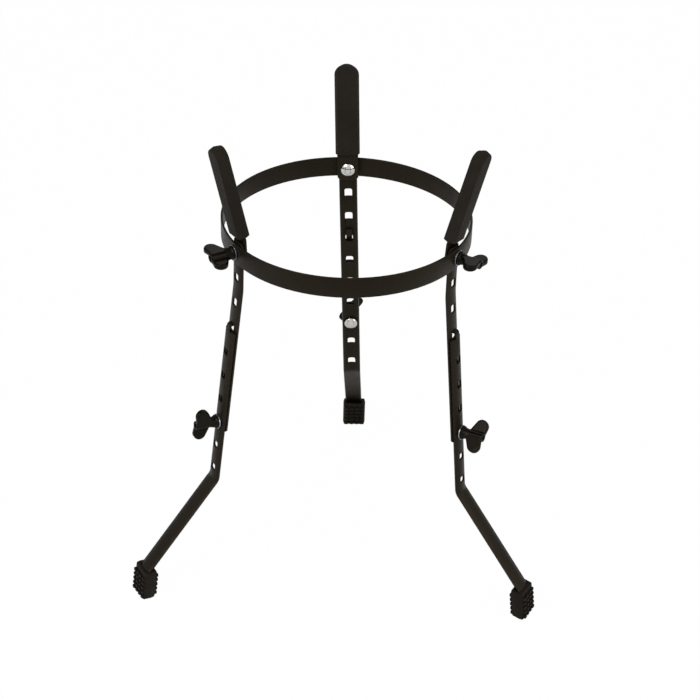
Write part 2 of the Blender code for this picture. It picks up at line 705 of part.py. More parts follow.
def foot_pocket():
    """Cutter for the bar's end: its own section and bend with clearance, running up out of the boot."""
    run_up = BOOT_HEIGHT * 0.6
    start = LOWER_ROUTE.length() - (FOOT_TIP - TIP_ARC / 2.0) - TIP_ARC - run_up
    point, normal = LOWER_ROUTE.at(start)
    heading = math.degrees(math.atan2(-normal.x, normal.y))
    route = Route(point + CLEARANCE * normal, heading,
                  [(run_up, 0.0), (TIP_ARC, TIP_TURN), (FOOT_TIP - TIP_ARC / 2.0 + 2.0 * CLEARANCE, 0.0)])
    return strip(route, BAR_WIDTH + 2.0 * CLEARANCE, BAR_THICKNESS + 2.0 * CLEARANCE, lambda mark: FOOT_BOW,
                 BAR_COLUMNS)


def build_leg(name, root, height, shapes):
    """One leg station: arm, pad, bars, bolts, washers, knobs and boot."""
    azimuth = LEG_AZIMUTH[name]
    station = Matrix.Translation((0.0, 0.0, height)) @ Matrix.Rotation(math.radians(azimuth), 4, "Z")
    station = station @ Matrix.Translation((RING_RADIUS - STRAP_THICKNESS, 0.0, 0.0))

    arm_axis = add_axis(name + "_arm_axis", root, station @ turned_about_x(ARM_SWING[name]))
    add_part(name + "_arm", shapes["arm"], POWDER_COAT, arm_axis)
    add_part(name + "_pad", shapes["pad"], PAD_RUBBER, arm_axis)
    add_part(name + "_ring_bolt", shapes["ring_bolt"], BOLT_CHROME, arm_axis,
             Matrix.Translation((RING_HEAD_X, 0.0, 0.0)))

    knob_axis = add_axis(name + "_ring_knob_axis", root,
                         station @ Matrix.Translation((RING_WASHER_X, 0.0, 0.0)) @ turned_about_x(RING_KNOB_TURN[name]))
    add_part(name + "_ring_washer", shapes["washer"], WASHER_ZINC, knob_axis)
    seat = Matrix.Translation((KNOB_GAP, 0.0, 0.0))
    add_part(name + "_ring_knob", shapes["knob"], KNOB_PLASTIC, knob_axis, seat)
    add_part(name + "_ring_knob_insert", shapes["insert"], INSERT_BRASS, knob_axis, seat)

    leg_axis = add_axis(name + "_leg_axis", root, station @ turned_about_x(LEG_SWING[name]))
    add_part(name + "_upper_leg", shapes["upper_leg"], POWDER_COAT, leg_axis)
    point, normal = UPPER_ROUTE.at(TOP_OVERHANG + HOLE_7)
    joint = Matrix.Translation((point.x, 0.0, point.y)) @ turn_outward(LEG_LEAN)
    add_part(name + "_leg_bolt", shapes["leg_bolt"], BOLT_CHROME, leg_axis,
             joint @ Matrix.Translation((LEG_HEAD_X, 0.0, 0.0)))
    clamp = add_axis(name + "_leg_knob_axis", leg_axis,
                     joint @ Matrix.Translation((LEG_WASHER_X, 0.0, 0.0)) @ turned_about_x(LEG_KNOB_TURN[name]))
    add_part(name + "_leg_washer", shapes["washer"], WASHER_ZINC, clamp)
    add_part(name + "_leg_knob", shapes["knob"], KNOB_PLASTIC, clamp, seat)
    add_part(name + "_leg_knob_insert", shapes["insert"], INSERT_BRASS, clamp, seat)

    point, normal = UPPER_ROUTE.at(TOP_OVERHANG + HOOK_SEAT)
    seat_point = point - SEAT_DEPTH * normal
    hook_axis = add_axis(name + "_hook_axis", leg_axis,
                         Matrix.Translation((seat_point.x, 0.0, seat_point.y)) @ turn_outward(LEG_LEAN))
    add_part(name + "_lower_leg", shapes["lower_leg"], POWDER_COAT, hook_axis)

    bpy.context.view_layer.update()
    hook_world = hook_axis.matrix_world.copy()
    end, normal = LOWER_ROUTE.at(LOWER_ROUTE.length())
    bar_end = hook_world @ Vector((end.x, 0.0, end.y))
    upright = Matrix.Rotation(math.radians(azimuth), 4, "Z")
    local_end = upright.inverted() @ bar_end
    pocket = moved(shapes["pocket"], upright.inverted() @ hook_world)
    boot = boot_mesh(local_end, pocket)
    add_part(name + "_foot", boot, BOOT_RUBBER, hook_axis, hook_world.inverted() @ upright)


def ring_height():
    """Height of the ring's middle, so that an upright leg's bar ends one sole's thickness off the floor."""
    point, normal = UPPER_ROUTE.at(TOP_OVERHANG + HOOK_SEAT)
    seat_point = point - SEAT_DEPTH * normal
    end, normal = LOWER_ROUTE.at(LOWER_ROUTE.length())
    lean = turn_outward(LEG_LEAN)
    drop = (lean @ Vector((end.x, 0.0, end.y))).z
    return BOOT_SOLE - seat_point.y - drop


def centre_on_floor(root):
    """Move everything so that the middle of the stand's floor box is the origin."""
    bpy.context.view_layer.update()
    graph = bpy.context.evaluated_depsgraph_get()
    corners = []
    for item in PARTS.objects:
        if item.type == "MESH":
            shape = item.evaluated_get(graph)
            corners += [item.matrix_world @ vert.co for vert in shape.data.vertices]
    for axis in (0, 1):
        values = [corner[axis] for corner in corners]
        root.location[axis] -= (min(values) + max(values)) / 2.0
    bpy.context.view_layer.update()


def build():
    height = ring_height()
    root = add_axis("stand_axis", None, Matrix.Identity(4))
    neck = ARM_THICKNESS
    ring_reach = RING_WASHER_X + KNOB_GAP + BOLT_ENGAGEMENT - RING_HEAD_X
    leg_reach = LEG_WASHER_X + KNOB_GAP + BOLT_ENGAGEMENT - LEG_HEAD_X
    shapes = {
        "upper_leg": upper_leg_mesh(),
        "lower_leg": lower_leg_mesh(),
        "arm": arm_mesh(),
        "pad": pad_mesh(),
        "ring_bolt": bolt_mesh(neck, ring_reach),
        "leg_bolt": bolt_mesh(-LEG_HEAD_X, leg_reach),
        "washer": washer_mesh(),
        "knob": knob_mesh(),
        "insert": insert_mesh(),
        "pocket": foot_pocket(),
    }
    add_part("ring", ring_mesh(), POWDER_COAT, root, Matrix.Translation((0.0, 0.0, height)))
    for name in LEG_AZIMUTH:
        build_leg(name, root, height, shapes)
    centre_on_floor(root)


clear_scene()
PARTS = bpy.data.collections.new("conga_stand")
bpy.context.scene.collection.children.link(PARTS)
build()
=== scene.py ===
"""Looks of the adjustable conga stand: finishes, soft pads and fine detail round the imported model."""
import json
import math

import bmesh
import bpy
from mathutils import Matrix, Vector

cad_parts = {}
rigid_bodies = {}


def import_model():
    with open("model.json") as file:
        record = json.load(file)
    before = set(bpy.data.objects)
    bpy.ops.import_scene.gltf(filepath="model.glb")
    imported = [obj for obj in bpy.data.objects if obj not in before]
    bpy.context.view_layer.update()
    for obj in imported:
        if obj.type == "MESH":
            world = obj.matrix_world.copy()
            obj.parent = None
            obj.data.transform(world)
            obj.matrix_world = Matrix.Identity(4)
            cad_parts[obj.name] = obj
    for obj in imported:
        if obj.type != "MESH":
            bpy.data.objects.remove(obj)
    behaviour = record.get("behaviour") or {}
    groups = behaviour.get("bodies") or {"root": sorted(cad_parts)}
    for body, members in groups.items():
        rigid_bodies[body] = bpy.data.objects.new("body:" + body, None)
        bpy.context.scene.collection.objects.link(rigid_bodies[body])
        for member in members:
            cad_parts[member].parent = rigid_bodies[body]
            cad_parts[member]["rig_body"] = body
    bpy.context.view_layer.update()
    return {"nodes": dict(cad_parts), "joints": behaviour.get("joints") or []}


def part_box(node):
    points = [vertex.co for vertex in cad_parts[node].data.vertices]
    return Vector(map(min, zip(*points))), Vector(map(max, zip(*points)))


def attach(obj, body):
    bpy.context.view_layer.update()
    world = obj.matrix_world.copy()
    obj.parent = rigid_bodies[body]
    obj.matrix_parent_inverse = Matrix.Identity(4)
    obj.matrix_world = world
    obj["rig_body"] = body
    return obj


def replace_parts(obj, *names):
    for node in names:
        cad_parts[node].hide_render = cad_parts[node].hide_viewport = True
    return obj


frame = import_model()
MM = 0.001
UP = Vector((0.0, 0.0, 1.0))
WHITE = (1.0, 1.0, 1.0)
JOINTS = {joint["name"]: joint for joint in frame["joints"]}
STATIONS = ("back", "left", "right")
BOLT_PLACES = [f"{station}_{level}" for station in STATIONS for level in ("ring", "leg")]

# The photograph's camera, worked out from the ring: distance, elevation and small turns about its own axes.
CAMERA_DISTANCE = 2.3134
CAMERA_ELEVATION = 29.047
CAMERA_PAN = 0.209
CAMERA_TILT = -4.117
CAMERA_ROLL = 1.372
FOCAL_PIXELS = 1756.4
IMAGE_WIDTH = 700
SENSOR_MM = 36.0

# Floor and surroundings: white to the camera, and dimmer as a light on the stand.
AMBIENT = 0.55
FLOOR_SIZE = 14.0
FLOOR_COLOUR = (0.90, 0.90, 0.90, 1.0)
FLOOR_ROUGHNESS = 0.9
FLOOR_SPECULAR = 0.1
FLOOR_GLOW = 0.985
# How bright the surroundings are where the stand mirrors them, by how far a direction points up, and how much
# of that is left by how far it points to the back.
SCREENS = [(0.0, 0.85), (0.80, 1.0), (0.84, 0.03), (0.91, 0.03), (0.95, 1.0)]
BACKDROP = [(0.15, 1.0), (0.50, 0.22)]
# Soft lamps, all aimed at the middle of the stand: place, size and power.
LAMP_TARGET = Vector((0.0, 0.0, 0.35))
LAMPS = {
    "key": ((-1.6, -1.9, 2.6), (1.6, 1.6), 46.0),
    "fill": ((2.2, -1.4, 1.5), (1.8, 1.8), 20.0),
    "rim": ((0.4, 2.4, 2.2), (2.0, 1.2), 9.0),
}

# Wear starts where an edge is as pointed as the first value and is full at the second. A noise thins it out.
WEAR_START = 0.52
WEAR_FULL = 0.62
WEAR_LEAST = 0.2
WEAR_GRAIN = 180.0
WEAR_DETAIL = 4.0
# How bright worn rubber is beside its lighter tone, and a metal's darker tone beside its own colour.
RUBBER_WEAR = 2.0
METAL_SHADE = 0.90
NOISE_ROUGHNESS = 0.55

# How wide the edges of each kind of piece are eased, in how many steps, and the least angle between faces, in
# degrees, that counts as an edge.
BAR_EDGE = 0.35 * MM
PAD_EDGE = 1.6 * MM
BOOT_EDGE = 0.9 * MM
WASHER_EDGE = 0.25 * MM
INSERT_EDGE = 0.20 * MM
HEAD_EDGE = 0.3 * MM
EASED_STEPS = 2
ROUND_STEPS = 3
EASED_ANGLE = 32.0
PAD_EASED_ANGLE = 16.0
# The least angles between faces, in degrees, that the shading shows as sharp.
SHARP_ANGLE = 50.0
KNOB_SHARP_ANGLE = 42.0
BOLT_SHARP_ANGLE = 30.0
TREAD_SHARP_ANGLE = 60.0
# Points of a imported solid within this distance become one, and facets within this many degrees one face.
WELD = 0.002 * MM
FLAT_ANGLE = 0.4

# Wing knob, measured from its seat on the washer: a flared base, a waist and a barrel.
KNOB_BASE_RADIUS = 9.5 * MM
KNOB_BASE_RIM = 0.4 * MM
KNOB_BASE_HEIGHT = 1.8 * MM
KNOB_BASE_DRAFT = 0.1 * MM
KNOB_SHOULDER = 3.4 * MM
KNOB_SHOULDER_FLARE = 0.3 * MM
KNOB_WAIST = 5.0 * MM
KNOB_WAIST_RADIUS = 7.7 * MM
BARREL_START = 11.0 * MM
BARREL_END = 31.3 * MM
BARREL_RADIUS = 6.3 * MM
BARREL_CHAMFER = 0.8 * MM
KNOB_STEPS = 48
# Each wing is a slab with a round lobe, shifted to one side of the knob's middle and thinner at the barrel.
LOBE_RADIUS = 9.5 * MM
LOBE_OFFSET = 14.5 * MM
LOBE_HEIGHT = 22.9 * MM
LOBE_START = 150.0
LOBE_STEPS = 22
WING_START = KNOB_WAIST - 2.0 * MM
WING_START_RADIUS = KNOB_WAIST_RADIUS - 1.6 * MM
WING_FLARE = KNOB_WAIST + 3.6 * MM
WING_FLARE_RADIUS = KNOB_WAIST_RADIUS + 0.3 * MM
WING_END = BARREL_END - 0.1 * MM
WING_END_RADIUS = 6.0 * MM
WING_THICKNESS = 9.0 * MM
WING_SHIFT = 1.7 * MM
WING_TAPER = 0.16
WING_EDGE = 2.2 * MM
WING_EDGE_STEPS = 4
WING_EDGE_ANGLE = 60.0
# Barrel and wings are fused at this grain, softened this many times and then hollowed at both ends.
KNOB_VOXEL = 0.5 * MM
KNOB_SOFTENING = 5
HOLLOW_RADIUS = 3.4 * MM
HOLLOW_DEPTH = 7.0 * MM
HOLLOW_FLARE = 1.1 * MM
HOLLOW_FLARE_DEPTH = 0.7 * MM
HOLLOW_FLARE_RISE = 0.6 * MM
HOLLOW_OVERSHOOT = 3.0 * MM
SEAT_RADIUS = 5.3 * MM
SEAT_DEPTH = 13.3 * MM
SEAT_OVERSHOOT = 1.0 * MM
BOLT_ROOM = 4.0 * MM
BOLT_CLEARANCE = 0.4 * MM
CUTTER_STEPS = 40
# How far each knob's wings stand above the level, in degrees, seen in the photograph.
KNOB_TURN = {
    "back_ring": 84.0, "left_ring": 3.5, "right_ring": 4.0,
    "back_leg": 46.0, "left_leg": 92.5, "right_leg": 139.0,
}

# Pads: the lean of their length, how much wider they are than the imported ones, the round top's radius, the share
# of it that is lost along the widest line, and how much fuller and higher the half that faces the drum is.
PAD_LEAN = 11.0
PAD_STRETCH = 1.035
PAD_TOP_RADIUS = 16.5 * MM
PAD_TOP_DROP = 0.16
PAD_INNER_FULLNESS = 1.16
PAD_INNER_RISE = 0.07
PAD_WIDEST_BAND = 0.6 * MM

# Bolts: an M8 thread that starts just behind the washer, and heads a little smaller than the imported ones.
THREAD_PITCH = 1.25 * MM
THREAD_CREST = 4.0 * MM
THREAD_ROOT = 3.45 * MM
THREAD_STEEPNESS = 1.25
THREAD_CHAMFER = 0.6 * MM
THREAD_SEGMENTS = 28
THREAD_ROWS = 8
THREAD_START = -0.4 * MM
THREAD_OVERLAP = 0.5 * MM
HEAD_TRIM = 0.965

# Tread on the rubber boots: columns and rows of raised blocks on the inner and outer faces.
TREAD_COLUMNS = 4
TREAD_ROWS = 5
TREAD_PITCH_ACROSS = 8.4 * MM
TREAD_PITCH_UP = 7.4 * MM
TREAD_FIRST = 4.9 * MM
TREAD_SIZE = (4.8 * MM, 5.9 * MM, 5.1 * MM)
TREAD_STAND = 1.5 * MM
TREAD_EDGE = 1.1 * MM
TREAD_EDGE_ANGLE = 30.0
BOOT_LEAN = 7.0
SOLE_BAND = 0.2 * MM


def vertices(node):
    return [vertex.co for vertex in frame["nodes"][node].data.vertices]


def ring_centre():
    low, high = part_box("ring")
    return (low + high) / 2.0


def add_camera():
    centre = ring_centre()
    elevation = math.radians(CAMERA_ELEVATION)
    back = Vector((0.0, -math.cos(elevation), math.sin(elevation)))
    forward = -back
    right = Vector((1.0, 0.0, 0.0))
    up = right.cross(forward)
    pan = math.radians(CAMERA_PAN)
    tilt = math.radians(CAMERA_TILT)
    roll = math.radians(CAMERA_ROLL)
    forward_panned = forward * math.cos(pan) + right * math.sin(pan)
    right_panned = right * math.cos(pan) - forward * math.sin(pan)
    aim = forward_panned * math.cos(tilt) + up * math.sin(tilt)
    up_tilted = up * math.cos(tilt) - forward_panned * math.sin(tilt)
    across = right_panned * math.cos(roll) + up_tilted * math.sin(roll)
    upright = up_tilted * math.cos(roll) - right_panned * math.sin(roll)
    data = bpy.data.cameras.new("camera")
    data.sensor_width = SENSOR_MM
    data.lens = FOCAL_PIXELS / IMAGE_WIDTH * SENSOR_MM
    camera = bpy.data.objects.new("camera", data)
    bpy.context.scene.collection.objects.link(camera)
    turn = Matrix((across, upright, -aim)).transposed().to_4x4()
    camera.matrix_world = Matrix.Translation(centre + back * CAMERA_DISTANCE) @ turn
    bpy.context.scene.camera = camera


class Nodes:
    """Short calls for building a node tree."""

    def __init__(self, tree):
        self.tree = tree

    def new(self, kind):
        return self.tree.nodes.new(kind)

    def link(self, source, target):
        self.tree.links.new(source, target)

    def noise(self, scale, detail):
        coordinates = self.new("ShaderNodeTexCoord")
        noise = self.new("ShaderNodeTexNoise")
        noise.inputs["Scale"].default_value = scale
        noise.inputs["Detail"].default_value = detail
        noise.inputs["Roughness"].default_value = NOISE_ROUGHNESS
        self.link(coordinates.outputs["Object"], noise.inputs["Vector"])
        return noise.outputs["Fac"]

    def ramp(self, factor, stops):
        """Turn a value into a colour, from stops of a position and a colour each."""
        ramp = self.new("ShaderNodeValToRGB")
        elements = ramp.color_ramp.elements
        while len(elements) < len(stops):
            elements.new(0.5)
        for element, (position, colour) in zip(elements, stops):
            element.position = position
            element.color = (*colour, 1.0)
        self.link(factor, ramp.inputs["Fac"])
        return ramp.outputs["Color"]

    def greys(self, factor, stops):
        """The same as a ramp, from stops of a position and a brightness each."""
        return self.ramp(factor, [(position, (grey, grey, grey)) for position, grey in stops])

    def spread(self, factor, low, high, start=0.3, end=0.7):
        """Map a value, such as a noise that stays near its middle, onto a range."""
        mapping = self.new("ShaderNodeMapRange")
        mapping.inputs["From Min"].default_value = start
        mapping.inputs["From Max"].default_value = end
        mapping.inputs["To Min"].default_value = low
        mapping.inputs["To Max"].default_value = high
        self.link(factor, mapping.inputs["Value"])
        return mapping.outputs["Result"]

    def combine(self, operation, one, other):
        """Combine two values, such as by MULTIPLY or MAXIMUM."""
        both = self.new("ShaderNodeMath")
        both.operation = operation
        self.link(one, both.inputs[0])
        self.link(other, both.inputs[1])
        return both.outputs[0]

    def mix(self, blend="MIX"):
        """A colour mix, with its factor and its first and second colour."""
        mix = self.new("ShaderNodeMix")
        mix.data_type = "RGBA"
        mix.blend_type = blend
        return mix.inputs["Factor"], mix.inputs[6], mix.inputs[7], mix.outputs[2]

    def worn(self, colour, wear, amount):
        """Blend towards a wear colour along the mesh's outer edges."""
        geometry = self.new("ShaderNodeNewGeometry")
        edge = self.spread(geometry.outputs["Pointiness"], 0.0, amount, WEAR_START, WEAR_FULL)
        breakup = self.spread(self.noise(WEAR_GRAIN, WEAR_DETAIL), WEAR_LEAST, 1.0)
        factor, whole, rubbed, result = self.mix()
        self.link(self.combine("MULTIPLY", edge, breakup), factor)
        self.link(colour, whole)
        rubbed.default_value = (*wear, 1.0)
        return result

    def bump(self, height, distance, strength, below=None):
        bump = self.new("ShaderNodeBump")
        bump.inputs["Distance"].default_value = distance
        bump.inputs["Strength"].default_value = strength
        self.link(height, bump.inputs["Height"])
        if below is not None:
            self.link(below, bump.inputs["Normal"])
        return bump.outputs["Normal"]


def finish(name, tones, mottle, gloss, relief, wear=None, metallic=0.0, specular=0.5, tint=WHITE):
    """A material whose colour, gloss and relief vary over its surface.

    tones holds the darker and the lighter colour, and mottle a noise's scale and detail and its value at each
    tone. gloss holds a noise's scale and detail and the least and most roughness. relief holds a noise's scale
    and detail, a depth and a strength for each layer. wear holds the colour and the share of worn edges.
    """
    material = bpy.data.materials.new(name)
    material.use_nodes = True
    nodes = Nodes(material.node_tree)
    sockets = material.node_tree.nodes["Principled BSDF"].inputs
    sockets["Metallic"].default_value = metallic
    sockets["Specular IOR Level"].default_value = specular
    sockets["Specular Tint"].default_value = (*tint, 1.0)

    scale, detail, darker_at, lighter_at = mottle
    colour = nodes.ramp(nodes.noise(scale, detail), [(darker_at, tones[0]), (lighter_at, tones[1])])
    if wear is not None:
        colour = nodes.worn(colour, *wear)
    nodes.link(colour, sockets["Base Color"])

    scale, detail, least, most = gloss
    nodes.link(nodes.spread(nodes.noise(scale, detail), least, most), sockets["Roughness"])

    normal = None
    for scale, detail, depth, strength in relief:
        normal = nodes.bump(nodes.noise(scale, detail), depth, strength, normal)
    nodes.link(normal, sockets["Normal"])
    return material


def powder_coat():
    return finish(
        "powder_coat",
        tones=[(0.0066, 0.0048, 0.0028), (0.0112, 0.0084, 0.0054)],
        mottle=(9.0, 3.0, 0.32, 0.68),
        gloss=(60.0, 3.0, 0.36, 0.46),
        relief=[(900.0, 2.0, 0.05 * MM, 0.45), (120.0, 2.0, 0.08 * MM, 0.35)],
        wear=((0.028, 0.023, 0.016), 0.6),
        specular=0.13,
        tint=(1.0, 0.84, 0.62),
    )


def moulded_rubber(name, dark, light, least_rough, most_rough, grain):
    return finish(
        name,
        tones=[dark, light],
        mottle=(22.0, 5.0, 0.30, 0.70),
        gloss=(75.0, 3.0, least_rough, most_rough),
        relief=[(grain, 3.0, 0.06 * MM, 0.6), (160.0, 3.0, 0.12 * MM, 0.3)],
        wear=([channel * RUBBER_WEAR for channel in light], 0.5),
        specular=0.12,
        tint=(1.0, 0.90, 0.76),
    )


def pad_rubber():
    dark, light = (0.0100, 0.0084, 0.0064), (0.0165, 0.0140, 0.0110)
    return moulded_rubber("pad_rubber", dark, light, least_rough=0.67, most_rough=0.78, grain=1400.0)


def boot_rubber():
    dark, light = (0.0046, 0.0037, 0.0025), (0.0082, 0.0068, 0.0050)
    return moulded_rubber("boot_rubber", dark, light, least_rough=0.53, most_rough=0.64, grain=1200.0)


def knob_plastic():
    return finish(
        "knob_plastic",
        tones=[(0.0024, 0.0019, 0.0013), (0.0044, 0.0036, 0.0026)],
        mottle=(35.0, 3.0, 0.35, 0.65),
        gloss=(140.0, 3.0, 0.26, 0.34),
        relief=[(650.0, 3.0, 0.04 * MM, 0.4)],
        wear=((0.014, 0.012, 0.010), 0.5),
        specular=0.11,
        tint=(1.0, 0.88, 0.72),
    )


def bare_metal(name, colour, least_rough, most_rough, grain):
    return finish(
        name,
        tones=[[channel * METAL_SHADE for channel in colour], colour],
        mottle=(90.0, 3.0, 0.35, 0.60),
        gloss=(260.0, 4.0, least_rough, most_rough),
        relief=[(grain, 3.0, 0.01 * MM, 0.3)],
        metallic=1.0,
    )


def bolt_chrome():
    return bare_metal("bolt_chrome", (0.60, 0.585, 0.56), least_rough=0.04, most_rough=0.08, grain=500.0)


def washer_zinc():
    return bare_metal("washer_zinc", (0.30, 0.325, 0.355), least_rough=0.30, most_rough=0.36, grain=700.0)


def insert_brass():
    return bare_metal("insert_brass", (0.62, 0.46, 0.20), least_rough=0.28, most_rough=0.38, grain=700.0)


MATERIALS = {
    "powder_coat": powder_coat(),
    "pad_rubber": pad_rubber(),
    "boot_rubber": boot_rubber(),
    "knob_plastic": knob_plastic(),
    "bolt_chrome": bolt_chrome(),
    "washer_zinc": washer_zinc(),
    "insert_brass": insert_brass(),
}


def meshed(shape, name):
    """A mesh of the bmesh, which is freed."""
    mesh = bpy.data.meshes.new(name)
    shape.to_mesh(mesh)
    shape.free()
    return mesh


def scratch(mesh):
    """An object for working on a mesh, which isn't kept."""
    item = bpy.data.objects.new("scratch", mesh)
    bpy.context.scene.collection.objects.link(item)
    return item


def evaluated(item):
    """The mesh that an object shows with its modifiers; the object goes."""
    bpy.context.view_layer.update()
    graph = bpy.context.evaluated_depsgraph_get()
    mesh = bpy.data.meshes.new_from_object(item.evaluated_get(graph))
    bpy.data.objects.remove(item, do_unlink=True)
    return mesh


def cut(mesh, tool):
    """The mesh with the tool's solid taken away."""
    item, cutter = scratch(mesh), scratch(tool)
    difference = item.modifiers.new("cut", "BOOLEAN")
    difference.operation = "DIFFERENCE"
    difference.solver = "EXACT"
    difference.object = cutter
    result = evaluated(item)
    bpy.data.objects.remove(cutter, do_unlink=True)
    return result


def ease_edges(item, width, segments, angle):
    """Give an object a bevel on the edges that are sharper than an angle in degrees."""
    ease = item.modifiers.new("ease", "BEVEL")
    ease.width = width
    ease.segments = segments
    ease.limit_method = "ANGLE"
    ease.angle_limit = math.radians(angle)
    return ease


def eased(mesh, width, segments, angle):
    """The mesh with its edges rounded."""
    item = scratch(mesh)
    ease_edges(item, width, segments, angle)
    return evaluated(item)


def joined(meshes):
    """All the meshes in one, each as it is."""
    shape = bmesh.new()
    for mesh in meshes:
        shape.from_mesh(mesh)
    return meshed(shape, "joined")


def extruded(outline, depth):
    """Closed slab of an outline in the XY plane, centred on z = 0."""
    shape = bmesh.new()
    bottom = shape.faces.new([shape.verts.new((x, y, -depth / 2.0)) for x, y in outline])
    top = bmesh.ops.extrude_face_region(shape, geom=[bottom])["geom"]
    moved = [item for item in top if isinstance(item, bmesh.types.BMVert)]
    bmesh.ops.translate(shape, verts=moved, vec=(0.0, 0.0, depth))
    bmesh.ops.recalc_face_normals(shape, faces=shape.faces)
    return meshed(shape, "slab")


def circle_points(shape, x, radii):
    """New vertices of a bmesh round the X axis, one at each of the radii."""
    points = []
    for step, radius in enumerate(radii):
        angle = 2.0 * math.pi * step / len(radii)
        points.append(shape.verts.new((x, radius * math.cos(angle), radius * math.sin(angle))))
    return points


def turned(profile, steps):
    """Closed solid turned about X from (x, radius) points that start and end on the axis."""
    shape = bmesh.new()
    rings = [circle_points(shape, x, [radius] * (steps if radius > 0.0 else 1)) for x, radius in profile]
    for one, other in zip(rings, rings[1:]):
        for step in range(steps):
            after = (step + 1) % steps
            if len(one) == 1:
                shape.faces.new((one[0], other[step], other[after]))
            elif len(other) == 1:
                shape.faces.new((one[step], other[0], one[after]))
            else:
                shape.faces.new((one[step], other[step], other[after], one[after]))
    bmesh.ops.recalc_face_normals(shape, faces=shape.faces)
    return meshed(shape, "turned")


def arc(centre, radius, start, end, count):
    """Points along an arc, from and to an angle in degrees."""
    points = []
    for step in range(count + 1):
        angle = math.radians(start + (end - start) * step / count)
        points.append((centre[0] + radius * math.cos(angle), centre[1] + radius * math.sin(angle)))
    return points


def show(mesh, name, node, slot, sharp_angle):
    """Put a mesh on the node's body with its material."""
    mesh.name = name
    mesh.materials.clear()
    mesh.materials.append(MATERIALS[slot])
    for polygon in mesh.polygons:
        polygon.material_index = 0
    mesh.shade_smooth()
    mesh.set_sharp_from_angle(angle=math.radians(sharp_angle))
    item = bpy.data.objects.new(name, mesh)
    bpy.context.scene.collection.objects.link(item)
    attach(item, frame["nodes"][node]["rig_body"])
    return item


def welded(node):
    """A closed copy of a node's mesh, with its flat facets joined up."""
    shape = bmesh.new()
    shape.from_mesh(frame["nodes"][node].data)
    bmesh.ops.remove_doubles(shape, verts=shape.verts, dist=WELD)
    flat = math.radians(FLAT_ANGLE)
    bmesh.ops.dissolve_limit(shape, angle_limit=flat, verts=shape.verts, edges=shape.edges)
    return meshed(shape, node)


def refined(node, slot, width, segments=EASED_STEPS, angle=EASED_ANGLE, reshape=None):
    """The node's own form with its edges eased, as paint, plating or a mould leaves them."""
    mesh = welded(node)
    if reshape is not None:
        reshape(mesh)
    item = show(mesh, node + "_fine", node, slot, SHARP_ANGLE)
    ease = ease_edges(item, width, segments, angle)
    ease.harden_normals = True
    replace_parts(item, node)
    return item


def wing_shape():
    """One wing, with X along the knob from the washer outwards and Y away from the barrel."""
    outline = [(WING_START, 0.0), (WING_START, WING_START_RADIUS), (WING_FLARE, WING_FLARE_RADIUS)]
    outline += arc((LOBE_HEIGHT, LOBE_OFFSET), LOBE_RADIUS, LOBE_START, 0.0, LOBE_STEPS)
    outline += [(WING_END, WING_END_RADIUS), (WING_END, 0.0)]
    wing = extruded(outline, WING_THICKNESS)
    for vertex in wing.vertices:
        if vertex.co.z > 0.0:
            vertex.co.z -= WING_TAPER * (LOBE_OFFSET + LOBE_RADIUS - vertex.co.y)
    wing = eased(wing, WING_EDGE, WING_EDGE_STEPS, WING_EDGE_ANGLE)
    wing.transform(Matrix.Translation((0.0, 0.0, -WING_SHIFT)))
    return wing


def knob_shape():
    """Wing knob of one moulding: a flared base, a barrel, and two round wings on either side of its middle.

    X runs from the washer outwards, and Y across the wings.
    """
    wing = wing_shape()
    opposite = wing.copy()
    opposite.transform(Matrix.Rotation(math.pi, 4, "X"))
    barrel = turned([
        (0.0, 0.0),
        (0.0, KNOB_BASE_RADIUS - KNOB_BASE_RIM),
        (KNOB_BASE_RIM, KNOB_BASE_RADIUS),
        (KNOB_BASE_HEIGHT, KNOB_BASE_RADIUS - KNOB_BASE_DRAFT),
        (KNOB_SHOULDER, KNOB_WAIST_RADIUS + KNOB_SHOULDER_FLARE),
        (KNOB_WAIST, KNOB_WAIST_RADIUS),
        (BARREL_START, BARREL_RADIUS),
        (BARREL_END - BARREL_CHAMFER, BARREL_RADIUS),
        (BARREL_END, BARREL_RADIUS - BARREL_CHAMFER),
        (BARREL_END, 0.0),
    ], KNOB_STEPS)
    item = scratch(joined([wing, opposite, barrel]))
    remesh = item.modifiers.new("fuse", "REMESH")
    remesh.mode = "VOXEL"
    remesh.voxel_size = KNOB_VOXEL
    smooth = item.modifiers.new("soften", "SMOOTH")
    smooth.iterations = KNOB_SOFTENING
    body = evaluated(item)
    hollow = turned([
        (BARREL_END - HOLLOW_DEPTH, 0.0),
        (BARREL_END - HOLLOW_DEPTH, HOLLOW_RADIUS),
        (BARREL_END - HOLLOW_FLARE_DEPTH, HOLLOW_RADIUS),
        (BARREL_END + HOLLOW_FLARE_RISE, HOLLOW_RADIUS + HOLLOW_FLARE),
        (BARREL_END + HOLLOW_OVERSHOOT, HOLLOW_RADIUS + HOLLOW_FLARE),
        (BARREL_END + HOLLOW_OVERSHOOT, 0.0),
    ], CUTTER_STEPS)
    seat = turned([
        (-SEAT_OVERSHOOT, 0.0),
        (-SEAT_OVERSHOOT, SEAT_RADIUS),
        (SEAT_DEPTH, SEAT_RADIUS),
        (SEAT_DEPTH, THREAD_CREST + BOLT_CLEARANCE),
        (SEAT_DEPTH + BOLT_ROOM, THREAD_CREST + BOLT_CLEARANCE),
        (SEAT_DEPTH + BOLT_ROOM, 0.0),
    ], CUTTER_STEPS)
    return cut(cut(body, hollow), seat)


